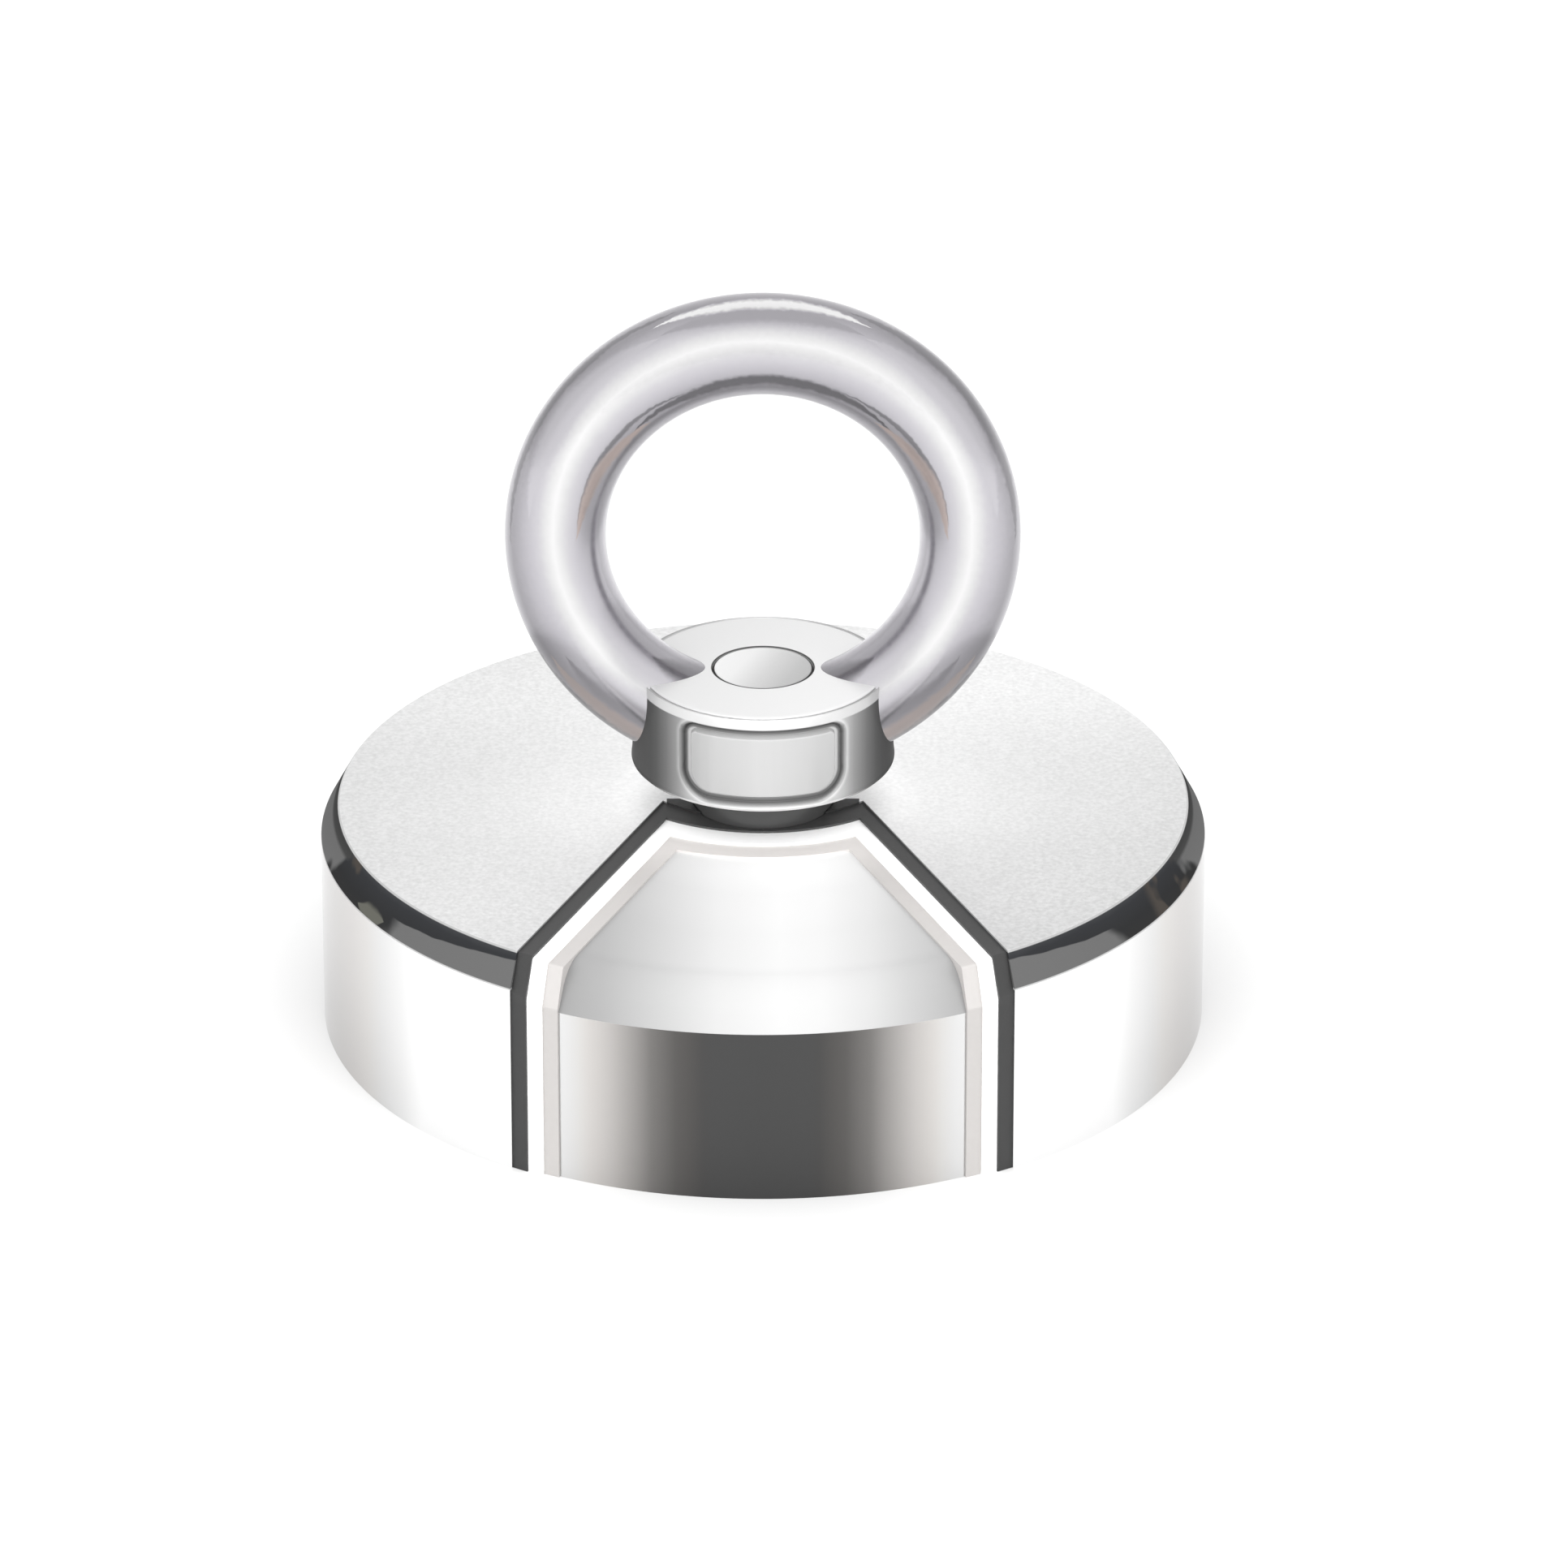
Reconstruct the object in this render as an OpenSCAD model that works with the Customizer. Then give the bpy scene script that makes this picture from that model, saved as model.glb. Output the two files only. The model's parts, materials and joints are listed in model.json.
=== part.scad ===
// Single-sided fishing magnet, shown as a cutaway piece.
// A plated steel pot holds a ring magnet in its underside. A countersunk screw
// passes up through both and carries an eye nut. At the front the four coats on
// the pot are cut back one behind the other, down to the bare steel.
// The origin is the centre of the pulling face, +Z points up along the screw,
// and the eye and the cutaway face -Y.

/* [Pot] */
// Diameter over the coats
pot_d = 60; // [52:0.5:75]
// Height from the pulling face to the finished top
pot_h = 15.5; // [14.5:0.1:20]
// Width of the polished bevel round the top, measured inwards
bevel_w = 1.25; // [0.8:0.05:2.5]
// Height of the polished bevel
bevel_h = 2.3; // [1:0.1:3]
// Steel left between the recess and the outside of the wall
wall_t = 4.4; // [3:0.1:7]
// Depth of the recess that holds the magnet
recess_h = 9; // [6:0.1:9.5]

/* [Coats] */
// Thickness of each of the four coats
coat_t = 0.16; // [0.1:0.01:0.25]
// How much further down the bevel ends on each coat underneath
bevel_drop = 0.28; // [0:0.01:0.4]
// Slope of the bare steel's shoulder, measured from the flat top
shoulder_angle = 60; // [45:1:70]
// Radius that blends the shoulder into the flat top
shoulder_r = 2.8; // [1:0.1:4]

/* [Cutaway] */
// Half width of the opening, measured across the screw's axis
cut_half_w = 6.5; // [5.5:0.1:8]
// Angle by which each side of the opening flares
cut_flare = 22; // [10:0.5:30]
// Width of each coat's bared strip along the sides
strip_w = 1.13; // [0.6:0.01:1.4]
// Width of each coat's bared strip in front of the nut
front_strip_w = 1.7; // [1:0.1:2.5]
// Radius of the arc that closes the opening behind
cut_arc_r = 9.5; // [9:0.1:12]
// How far behind the screw's axis that arc has its centre
cut_arc_back = 6; // [3:0.1:8]

/* [Ring magnet and resin] */
// Width of the resin ring between magnet and wall
resin_w = 1.6; // [0.8:0.1:3]
// How far the resin stays back from the pulling face
resin_back = 0.3; // [0.1:0.05:1]

/* [Screw] */
// Thread diameter
screw_d = 8; // [6:0.5:8.5]
// Diameter at the root of the thread, where it sits in the nut
screw_root_d = 6.7; // [5:0.1:7]
// Diameter of the countersunk head
head_d = 16; // [12:0.5:18]
// Height of the straight rim under the head's flat
head_rim = 0.4; // [0.2:0.1:1]
// How far the head stays back from the pulling face
head_back = 0.3; // [0.1:0.1:1]
// Width of the hex socket across its flats
socket_w = 5; // [3:0.5:5]
// Depth of the hex socket
socket_depth = 3; // [2:0.1:3.5]
// Radial clearance of the screw in the magnet and the pot
screw_clear = 0.25; // [0.1:0.05:0.5]
// Radial clearance between the thread's root and the nut
thread_clear = 0.08; // [0.05:0.01:0.15]

/* [Eye nut] */
// Diameter of the turned seat under the collar
seat_d = 9.6; // [9.4:0.1:12]
// Height of the collar's underside over the finished top of the pot
seat_rise = 2.9; // [0.5:0.1:4]
// Radial clearance of the seat in the coats
seat_clear = 0.1; // [0.05:0.05:0.3]
// Diameter of the collar near its foot
collar_d = 17.8; // [16:0.1:20]
// Diameter of the collar near its top
collar_top_d = 16.9; // [15.5:0.1:19]
// Height of the collar
collar_h = 6.7; // [6.6:0.1:9]
// Width of the bevel round the collar's top
collar_bevel = 0.35; // [0.2:0.05:0.8]
// Height of that bevel
collar_bevel_h = 0.8; // [0.3:0.05:1]
// Bevel round the collar's foot
foot_bevel = 0.3; // [0.1:0.05:0.6]
// Inside diameter of the eye
eye_d = 21; // [18:0.5:26]
// Diameter of the eye's round bar
bar_d = 6.8; // [5:0.05:8]
// How far the bar's inside sinks below the collar's top
eye_sink = 0.75; // [0.4:0.05:1.2]

/* [Panel on the collar] */
// Width of the framed panel
panel_w = 10.8; // [8:0.1:12]
// Height of the framed panel
panel_h = 5.2; // [3:0.1:5.4]
// Gap between the panel and the collar's foot
panel_lift = 0.6; // [0.4:0.05:1]
// Width of the groove that frames the panel
groove_w = 0.5; // [0.3:0.05:0.8]
// Depth of that groove
groove_depth = 0.35; // [0.15:0.05:0.6]
// Corner radius at the panel's top
panel_top_r = 0.9; // [0.6:0.05:1.2]
// Corner radius at the panel's foot
panel_foot_r = 1.9; // [1:0.1:2.4]

/* [Hidden] */

$fn = 128;
// Extra length by which a cutting shape runs past what it cuts
past = 1;
coats = 4;
// Straight steps that the shoulder's blend is turned in
blend_steps = 4;

pot_r = pot_d / 2;
core_r = pot_r - coats * coat_t;
core_h = pot_h - coats * coat_t;
recess_r = core_r - wall_t;
magnet_r = recess_r - resin_w;

shank_r = screw_d / 2;
root_r = screw_root_d / 2;
head_r = head_d / 2;
// The head's cone is 90 degrees, so it is as high as it is wide
head_h = head_rim + head_r - shank_r;
hole_r = shank_r + screw_clear;

seat_r = seat_d / 2;
collar_z = pot_h + seat_rise;
collar_top_z = collar_z + collar_h;
collar_r = collar_d / 2;
collar_top_r = collar_top_d / 2;
bar_r = bar_d / 2;
eye_centre_z = collar_top_z - eye_sink + eye_d / 2;
bar_ring_r = eye_d / 2 + bar_r;

// Outline of the pot with some of its coats, from the axis outwards:
// under = 0 is the finished outside, and each coat taken off adds one.
function coat_outline(under) =
    let (r = pot_r - under * coat_t,
         top = pot_h - under * coat_t,
         bevel_r = pot_r - bevel_w - under * coat_t / 2,
         bevel_z = pot_h - bevel_h - under * bevel_drop)
    [[0, 0], [r, 0], [r, bevel_z], [bevel_r, top], [0, top]];

// Where the bare steel's crisp edge lies, level with the innermost bevel's foot
edge_z = pot_h - bevel_h - coats * bevel_drop;
// Where the shoulder's slope would meet the flat top without its blend
shoulder_top_r = core_r - (core_h - edge_z) / tan(shoulder_angle);
// Length of flat and of slope that the blend takes up
blend_len = shoulder_r * tan(shoulder_angle / 2);

// Half section of the bare steel: a crisp edge, a slope, a turned blend and a flat top
module core_section() {
    centre = [shoulder_top_r - blend_len, core_h - shoulder_r];
    blend = [for (i = [blend_steps:-1:0])
             let (angle = shoulder_angle * i / blend_steps)
             centre + shoulder_r * [sin(angle), cos(angle)]];
    polygon(concat([[0, 0], [core_r, 0], [core_r, edge_z]], blend, [[0, core_h]]));
}

// Plan of the opening in one coat. Each coat underneath is opened one strip less.
module opening_plan(under) {
    narrower = under * strip_w / cos(cut_flare);
    near = cut_half_w - narrower;
    reach = pot_r + past;
    far = near + reach * tan(cut_flare);
    difference() {
        polygon([[-near, 0], [near, 0], [far, -reach], [-far, -reach]]);
        translate([0, cut_arc_back])
            circle(r = cut_arc_r + under * front_strip_w);
    }
}

// One coat: the skin between two outlines, opened at the front and at the seat
module coat(under) {
    difference() {
        rotate_extrude() polygon(coat_outline(under));
        if (under + 1 < coats) rotate_extrude() polygon(coat_outline(under + 1));
        else rotate_extrude() core_section();
        translate([0, 0, -past])
            linear_extrude(pot_h + 2 * past) opening_plan(under);
        translate([0, 0, core_h - past])
            cylinder(r = seat_r + seat_clear, h = pot_h - core_h + 2 * past);
    }
}

module outer_coat() {
    color("gainsboro") coat(0);
}

module dark_coat() {
    color("dimgray") coat(1);
}

module white_coat() {
    color("white") coat(2);
}

module base_coat() {
    color("antiquewhite") coat(3);
}

module steel_pot() {
    color("silver") difference() {
        rotate_extrude() core_section();
        translate([0, 0, -past]) cylinder(r = recess_r, h = recess_h + past);
        cylinder(r = hole_r, h = core_h + past);
    }
}

module ring_magnet() {
    sink_r = head_r + screw_clear;
    // Height of the straight rim at the mouth, which takes the head's own rim
    mouth_h = head_back + head_rim;
    color("slategray") difference() {
        cylinder(r = magnet_r, h = recess_h);
        translate([0, 0, -past]) cylinder(r = hole_r, h = recess_h + 2 * past);
        translate([0, 0, -past]) cylinder(r = sink_r, h = mouth_h + past);
        translate([0, 0, mouth_h])
            cylinder(r1 = sink_r, r2 = hole_r, h = sink_r - hole_r);
    }
}

module resin_ring() {
    color("darkslategray") difference() {
        translate([0, 0, resin_back]) cylinder(r = recess_r, h = recess_h - resin_back);
        cylinder(r = magnet_r, h = recess_h);
    }
}

module countersunk_screw() {
    end_bevel = 0.2;
    root_len = collar_top_z - core_h;
    color("lightgray") difference() {
        union() {
            translate([0, 0, head_back]) {
                cylinder(r = head_r, h = head_rim);
                translate([0, 0, head_rim])
                    cylinder(r1 = head_r, r2 = shank_r, h = head_h - head_rim);
                cylinder(r = shank_r, h = core_h - head_back);
            }
            translate([0, 0, core_h]) {
                cylinder(r = root_r, h = root_len - end_bevel);
                translate([0, 0, root_len - end_bevel])
                    cylinder(r1 = root_r, r2 = root_r - end_bevel, h = end_bevel);
            }
        }
        translate([0, 0, head_back - past])
            cylinder(d = socket_w / cos(30), h = socket_depth + past, $fn = 6);
    }
}

// Half section of the collar, its skin taken in by inset
function collar_outline(inset) =
    [[0, 0], [collar_r - foot_bevel - inset, 0],
     [collar_r - inset, foot_bevel],
     [collar_top_r - inset, collar_h - collar_bevel_h],
     [collar_top_r - collar_bevel - inset, collar_h], [0, collar_h]];

// Panel seen from the front, with its foot on y = 0 and inset all round
module panel_shape(inset) {
    half = panel_w / 2 - inset;
    top = panel_h - inset;
    top_r = panel_top_r - inset / 2;
    foot_r = panel_foot_r - inset / 2;
    // Corner centres, anticlockwise from the left foot
    translate([-half + foot_r, inset + foot_r]) circle(r = foot_r);
    translate([half - foot_r, inset + foot_r]) circle(r = foot_r);
    translate([half - top_r, top - top_r]) circle(r = top_r);
    translate([-half + top_r, top - top_r]) circle(r = top_r);
    polygon([[-half + foot_r, inset], [half - foot_r, inset],
             [half, inset + foot_r], [half, top - top_r],
             [half - top_r, top], [-half + top_r, top],
             [-half, top - top_r], [-half, inset + foot_r]]);
}

// Groove round the panel, as deep everywhere as the collar curves away
module panel_groove() {
    difference() {
        translate([0, 0, panel_lift])
            rotate([90, 0, 0])
                linear_extrude(collar_r + past)
                    difference() {
                        panel_shape(0);
                        panel_shape(groove_w);
                    }
        rotate_extrude() polygon(collar_outline(groove_depth));
    }
}

// The eye's round bar, left whole above the collar's foot
module eye_bar() {
    bar_span = bar_ring_r + bar_r + past;
    difference() {
        translate([0, 0, eye_centre_z])
            rotate([90, 0, 0])
                rotate_extrude() translate([bar_ring_r, 0]) circle(r = bar_r);
        translate([-bar_span, -bar_span, collar_z + foot_bevel - 2 * bar_span])
            cube(2 * bar_span);
    }
}

module eye_nut() {
    color("silver") difference() {
        union() {
            eye_bar();
            translate([0, 0, collar_z]) rotate_extrude() polygon(collar_outline(0));
            translate([0, 0, core_h]) cylinder(r = seat_r, h = collar_z - core_h + past);
        }
        translate([0, 0, core_h - past])
            cylinder(r = root_r + thread_clear, h = collar_top_z - core_h + 2 * past);
        translate([0, 0, collar_z]) panel_groove();
    }
}

steel_pot();
base_coat();
white_coat();
dark_coat();
outer_coat();
ring_magnet();
resin_ring();
countersunk_screw();
eye_nut();
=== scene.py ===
"""Looks of a fishing magnet: a plated pot magnet, its coats cut back in steps, under an eye nut.

Lengths are in millimetres until a mesh is made, which is in metres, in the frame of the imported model.
An angle round the screw's axis is 0 at the front (-Y) and grows towards +X, so a point at radius r
and angle a lies at (r sin a, -r cos a).
"""
import json
import math

import bmesh
import bpy
import numpy as np
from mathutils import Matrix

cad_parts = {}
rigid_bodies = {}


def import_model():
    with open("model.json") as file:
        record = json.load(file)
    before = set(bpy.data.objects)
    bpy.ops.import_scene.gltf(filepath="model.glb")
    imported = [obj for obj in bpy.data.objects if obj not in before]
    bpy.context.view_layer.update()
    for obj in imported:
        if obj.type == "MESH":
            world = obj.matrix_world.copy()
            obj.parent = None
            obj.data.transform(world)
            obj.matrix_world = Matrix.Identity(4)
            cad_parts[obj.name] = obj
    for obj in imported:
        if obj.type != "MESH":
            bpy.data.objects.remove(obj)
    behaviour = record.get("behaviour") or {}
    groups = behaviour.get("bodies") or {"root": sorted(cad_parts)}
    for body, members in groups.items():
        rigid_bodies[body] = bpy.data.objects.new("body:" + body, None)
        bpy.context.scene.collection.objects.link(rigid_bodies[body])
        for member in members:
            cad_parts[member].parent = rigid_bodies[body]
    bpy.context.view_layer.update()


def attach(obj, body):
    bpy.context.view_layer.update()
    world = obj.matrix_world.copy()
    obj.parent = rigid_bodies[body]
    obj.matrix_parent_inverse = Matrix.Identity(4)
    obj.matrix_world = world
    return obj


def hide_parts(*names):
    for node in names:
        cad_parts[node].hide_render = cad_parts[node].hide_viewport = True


for left_over in list(bpy.data.objects):
    bpy.data.objects.remove(left_over)
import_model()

MM = 0.001

# Camera: a long lens from above the front, at the photo's viewing angle. Its place is in metres
CAMERA_ELEVATION = math.radians(25.21)
CAMERA_DISTANCE = 0.7
CAMERA_AIM = (0.00142, 0, 0.0164)
CAMERA_LENS = 237.1
CAMERA_SENSOR = 36

# Pot and coats
POT_R = 30
POT_H = 15.5
BEVEL_W = 1.25
BEVEL_H = 2.3
COAT_T = 0.16
COATS = 4
BEVEL_DROP = 0.28
SHOULDER_ANGLE = math.radians(60)
SHOULDER_R = 2.8
CORE_R = POT_R - COATS * COAT_T
CORE_H = POT_H - COATS * COAT_T
EDGE_Z = POT_H - BEVEL_H - COATS * BEVEL_DROP
WALL_T = 4.4
RECESS_R = CORE_R - WALL_T
RECESS_H = 9
RESIN_W = 1.6
RESIN_BACK = 0.3
RESIN_DIP = 0.25
MAGNET_R = RECESS_R - RESIN_W
# Roundings of the bevel's two edges on a coat, and of the core's edge
BEVEL_TOP_R = 0.22
BEVEL_FOOT_R = 0.3
CORE_EDGE_R = 0.08

# Cutaway
CUT_HALF_W = 6.5
CUT_FLARE = math.radians(22)
STRIP_W = 1.13
FRONT_STRIP_W = 1.7
CUT_ARC_R = 9.5
CUT_ARC_BACK = 6

# Screw
HEAD_R = 8
HEAD_BACK = 0.3
SHANK_R = 4
ROOT_R = 3.35
HEAD_RIM = 0.4
SOCKET_W = 5
SOCKET_DEPTH = 3
SCREW_CLEAR = 0.25
HOLE_R = SHANK_R + SCREW_CLEAR
THREAD_PITCH = 1.25
THREAD_R = 3.95
THREAD_CLEAR = 0.08
THREAD_ROWS = 96
# The thread is drawn in rows between two heights, and fades in and out inside them
THREAD_FROM = CORE_H - 0.6
THREAD_FADE_IN = 0.4
THREAD_FADE_OUT = 0.6

# Eye nut
SEAT_R = 4.8
SEAT_CLEAR = 0.1
SEAT_RISE = 2.9
COLLAR_Z = POT_H + SEAT_RISE
COLLAR_H = 6.7
COLLAR_TOP_Z = COLLAR_Z + COLLAR_H
THREAD_TO = COLLAR_TOP_Z - 0.5
COLLAR_R = 8.9
COLLAR_TOP_R = 8.45
COLLAR_BEVEL = 0.35
COLLAR_BEVEL_H = 0.8
FOOT_BEVEL = 0.3
EYE_R = 10.5
BAR_R = 3.4
EYE_SINK = 0.75
EYE_Z = COLLAR_TOP_Z - EYE_SINK + EYE_R
PANEL_W = 10.8
PANEL_H = 5.2
PANEL_LIFT = 0.6
PANEL_TOP_R = 0.9
PANEL_FOOT_R = 1.9
GROOVE_W = 0.5
GROOVE_DEPTH = 0.35
# How far the groove's sides roll off to both sides of its edge
GROOVE_ROLL = 0.11

# How much of a painted colour each kind of surface shows in this light, made up for in its paint
TOP_LEVEL = 0.72
SIDE_LEVEL = 0.9
BAR_LEVEL = 0.8
COLLAR_LEVEL = 0.66

# Light: the surround's brightness for matt and for polished surfaces, and what its parts add to it
MATT_LIGHT = 1.6
MATT_FRONT = 1.6
GLOSSY_LIGHT = 1.08
GLOSSY_FRONT = 0.1
GLOSSY_FLANK = -0.1
GLOSSY_OVERHEAD = -0.08
FLOOR_TONE = 0.64
# Half the floor's width, in metres
FLOOR_HALF = 3


# Shapes

def unit(vector):
    """The vector over its length."""
    return vector / np.linalg.norm(vector)


def rounded_line(corners, radii, steps=6, margin=0.04):
    """A line through the corners, where each inner corner gives way to an arc of its own radius.

    The arc's centre lies on the corner's bisector, radius / sin(half the corner's angle) from the
    corner, and its points are centre + radius (cos a, sin a) with a running evenly between the two
    touching points. A point just outside each end of the arc keeps the straight stretches flat.
    """
    corners = np.array(corners, float)
    points = [corners[:1]]
    for before, corner, after, radius in zip(corners, corners[1:], corners[2:], radii):
        back = unit(before - corner)
        on = unit(after - corner)
        half = math.acos(np.clip(back @ on, -1, 1)) / 2
        reach = radius / math.tan(half)
        centre = corner + unit(back + on) * radius / math.sin(half)
        start = corner + reach * back - centre
        end = corner + reach * on - centre
        from_angle = math.atan2(start[1], start[0])
        turn = math.atan2(end[1], end[0]) - from_angle
        turn = (turn + math.pi) % (2 * math.pi) - math.pi
        angles = from_angle + turn * np.linspace(0, 1, steps + 1)
        arc = centre + radius * np.column_stack([np.cos(angles), np.sin(angles)])
        points += [[arc[0] + margin * back], arc, [arc[-1] + margin * on]]
    points.append(corners[-1:])
    return np.vstack(points)


def around(radius, height, angle):
    """Points (r sin a, -r cos a, z) for arrays of radius, height and angle of one shape."""
    radius, height, angle = np.broadcast_arrays(radius, height, angle)
    return np.stack([radius * np.sin(angle), -radius * np.cos(angle), height], -1)


def grid_faces(rows, columns, wrap_rows=False, wrap_columns=False):
    """Corner numbers of the quads of a grid whose points are numbered row by row."""
    row = np.arange(rows if wrap_rows else rows - 1)
    column = np.arange(columns if wrap_columns else columns - 1)
    row, column = np.meshgrid(row, column, indexing="ij")
    next_row = (row + 1) % rows
    next_column = (column + 1) % columns
    corners = [row * columns + column, row * columns + next_column,
               next_row * columns + next_column, next_row * columns + column]
    return np.stack(corners, -1).reshape(-1, 4)


def make_piece(name, shells, node, materials, sharp=35):
    """One object in the place of a node, from closed shells of points in mm and faces.

    Each shell has its own material, in the same order.
    """
    points = []
    faces = []
    count = 0
    for shell_points, shell_faces in shells:
        shell_points = shell_points.reshape(-1, 3)
        points.append(shell_points)
        faces.append(shell_faces + count)
        count += len(shell_points)
    mesh = bpy.data.meshes.new(name)
    mesh.from_pydata((np.vstack(points) * MM).tolist(), [], np.vstack(faces).tolist())
    for material in materials:
        mesh.materials.append(material)
    numbers = np.repeat(np.arange(len(faces)), [len(shell_faces) for shell_faces in faces])
    mesh.polygons.foreach_set("material_index", numbers)
    clean_up(mesh)
    mesh.shade_smooth()
    mesh.set_sharp_from_angle(angle=math.radians(sharp))
    piece = bpy.data.objects.new(name, mesh)
    bpy.context.scene.collection.objects.link(piece)
    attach(piece, "root")
    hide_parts(node)
    return piece


def clean_up(mesh):
    """Closes seams and poles by merging points that coincide, and turns each shell's faces outwards."""
    work = bmesh.new()
    work.from_mesh(mesh)
    bmesh.ops.remove_doubles(work, verts=work.verts, dist=0.0005 * MM)
    bmesh.ops.recalc_face_normals(work, faces=work.faces)
    work.to_mesh(mesh)
    work.free()


def turned(line, columns=256, closed=True):
    """A turned shell: the section line of (radius, height) points carried round the axis."""
    angle = np.linspace(0, 2 * math.pi, columns, endpoint=False)
    points = around(line[:, :1], line[:, 1:], angle)
    return points, grid_faces(len(line), columns, closed, True)


# Pot and coats

def coat_corners(under):
    """Section corners of the pot from the seat hole to the foot, with this many coats taken off."""
    radius = POT_R - under * COAT_T
    top = POT_H - under * COAT_T
    if under == COATS:
        shoulder = CORE_R - (CORE_H - EDGE_Z) / math.tan(SHOULDER_ANGLE)
        return [(shoulder, CORE_H), (CORE_R, EDGE_Z), (CORE_R, 0)]
    bevel_r = POT_R - BEVEL_W - under * COAT_T / 2
    bevel_z = POT_H - BEVEL_H - under * BEVEL_DROP
    return [(bevel_r, top), (radius, bevel_z), (radius, 0)]


def coat_line(under, inner_r):
    """Section line of the pot with its bevel's edges rounded, starting at inner_r on the top."""
    corners = coat_corners(under)
    top_r = SHOULDER_R if under == COATS else BEVEL_TOP_R
    edge_r = CORE_EDGE_R if under == COATS else BEVEL_FOOT_R
    return rounded_line([(inner_r, corners[0][1])] + corners, [top_r, edge_r], steps=8)


def opening_arc(under):
    """Radii at which the arc that closes the opening is sampled, up to its corner with the side.

    The arc is the circle of radius R about (0, b): its points (R sin p, b - R cos p) lie at radius
    sqrt(R^2 + b^2 - 2 R b cos p). Its corner is where |x| = near - y tan(flare).
    """
    arc_r = CUT_ARC_R + under * FRONT_STRIP_W
    near = CUT_HALF_W - under * STRIP_W / math.cos(CUT_FLARE)
    # Distance from the arc's centre to the side's line, and the angle at which the arc meets it
    off_line = (near - CUT_ARC_BACK * math.tan(CUT_FLARE)) * math.cos(CUT_FLARE)
    corner = CUT_FLARE + math.asin(off_line / arc_r)
    swing = corner * np.linspace(0, 1, 25)
    return np.sqrt(arc_r ** 2 + CUT_ARC_BACK ** 2 - 2 * arc_r * CUT_ARC_BACK * np.cos(swing))


def opening_angle(radius, under):
    """Half angle of the opening at a radius: the smaller of the side's and the arc's.

    Side: flare + asin(near cos(flare) / r). Arc: acos((R^2 - r^2 - b^2) / (2 b r)).
    """
    arc_r = CUT_ARC_R + under * FRONT_STRIP_W
    near = CUT_HALF_W - under * STRIP_W / math.cos(CUT_FLARE)
    side = CUT_FLARE + np.arcsin(np.clip(near * math.cos(CUT_FLARE) / radius, -1, 1))
    reach = (arc_r ** 2 - radius ** 2 - CUT_ARC_BACK ** 2) / (2 * CUT_ARC_BACK * radius)
    arc = np.arccos(np.clip(reach, -1, 1))
    return np.minimum(side, arc)


def coat_shell(under, columns=400):
    """The skin between two section lines, swept from one side of the opening round to the other.

    At a share u of the sweep the angle is h + (2 pi - 2 h) u, where h is the opening's half angle at
    that radius. Inside the opening's arc h is 0, and the skin runs all the way round.
    """
    hole_r = SEAT_R + SEAT_CLEAR
    arc = opening_arc(under)
    arc = arc[arc > hole_r + 0.01]
    # The section lines start a little outside the arc, and the flat top inside them follows it
    inner_r = arc[-1] + 0.3
    outside = coat_line(under, inner_r)
    inside = coat_line(under + 1, inner_r)
    top_rows = np.concatenate([[hole_r], arc])
    flat = np.ones_like(top_rows)
    outside = np.vstack([np.column_stack([top_rows, flat * outside[0, 1]]), outside])
    inside = np.vstack([np.column_stack([top_rows, flat * inside[0, 1]]), inside])
    line = np.vstack([outside, inside[::-1]])
    half = opening_angle(line[:, :1], under)
    share = np.linspace(0, 1, columns)
    points = around(line[:, :1], line[:, 1:], half + (2 * math.pi - 2 * half) * share)
    faces = grid_faces(len(line), columns, True, False)
    # Cut faces: strips between the outer line and the inner one, at both ends of the sweep
    row = np.arange(len(outside) - 1)
    opened = half[row + 1, 0] > 0
    row = row[opened]
    across = len(line) - 1 - row
    ends = [np.column_stack([row, row + 1, across - 1, across]) * columns + end
            for end in (0, columns - 1)]
    return points, np.vstack([faces] + ends)


def pot_shell():
    """The steel pot: shouldered outside, and a recess with a hole through its floor inside."""
    outside = coat_line(COATS, HOLE_R)
    recess = rounded_line([(CORE_R, 0), (RECESS_R, 0), (RECESS_R, RECESS_H),
                           (HOLE_R, RECESS_H), (HOLE_R, CORE_H)], [0.05, 0.3, 0.1])
    return turned(np.vstack([outside, recess[1:-1]]), 360)


# Magnet and resin

def magnet_shell():
    """The ring magnet, with the countersink that takes the screw's head."""
    sink_r = HEAD_R + SCREW_CLEAR
    mouth = HEAD_BACK + HEAD_RIM
    corners = [(MAGNET_R, RECESS_H / 2), (MAGNET_R, 0), (sink_r, 0), (sink_r, mouth),
               (HOLE_R, mouth + sink_r - HOLE_R), (HOLE_R, RECESS_H), (MAGNET_R, RECESS_H),
               (MAGNET_R, RECESS_H / 2)]
    line = rounded_line(corners, [0.25, 0.1, 0.05, 0.2, 0.1, 0.1])
    return turned(line[:-1], 256)


def resin_shell():
    """The resin ring. Its mouth sags: height = back + dip (1 - (2 u - 1)^2) across its width."""
    across = np.linspace(0, 1, 17)
    mouth = np.column_stack([MAGNET_R + (RECESS_R - MAGNET_R) * across,
                             RESIN_BACK + RESIN_DIP * (1 - (2 * across - 1) ** 2)])
    line = np.vstack([mouth, [(RECESS_R, RECESS_H), (MAGNET_R, RECESS_H)]])
    return turned(line, 256)


# Screw

def thread_wave(height, angle):
    """Height of a thread's ridge, 0 to 1, at a height and an angle: a triangle wave with its tips cut.

    The wave's place in its turn is height / pitch - angle / (2 pi), less its whole part. The wave
    is stretched by 1.35 and lowered by 0.15, and what is then under 0 or over 1 is cut off.
    """
    turn = (height / THREAD_PITCH - angle / (2 * math.pi)) % 1
    return np.clip(1.35 * (1 - np.abs(2 * turn - 1)) - 0.15, 0, 1)


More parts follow.
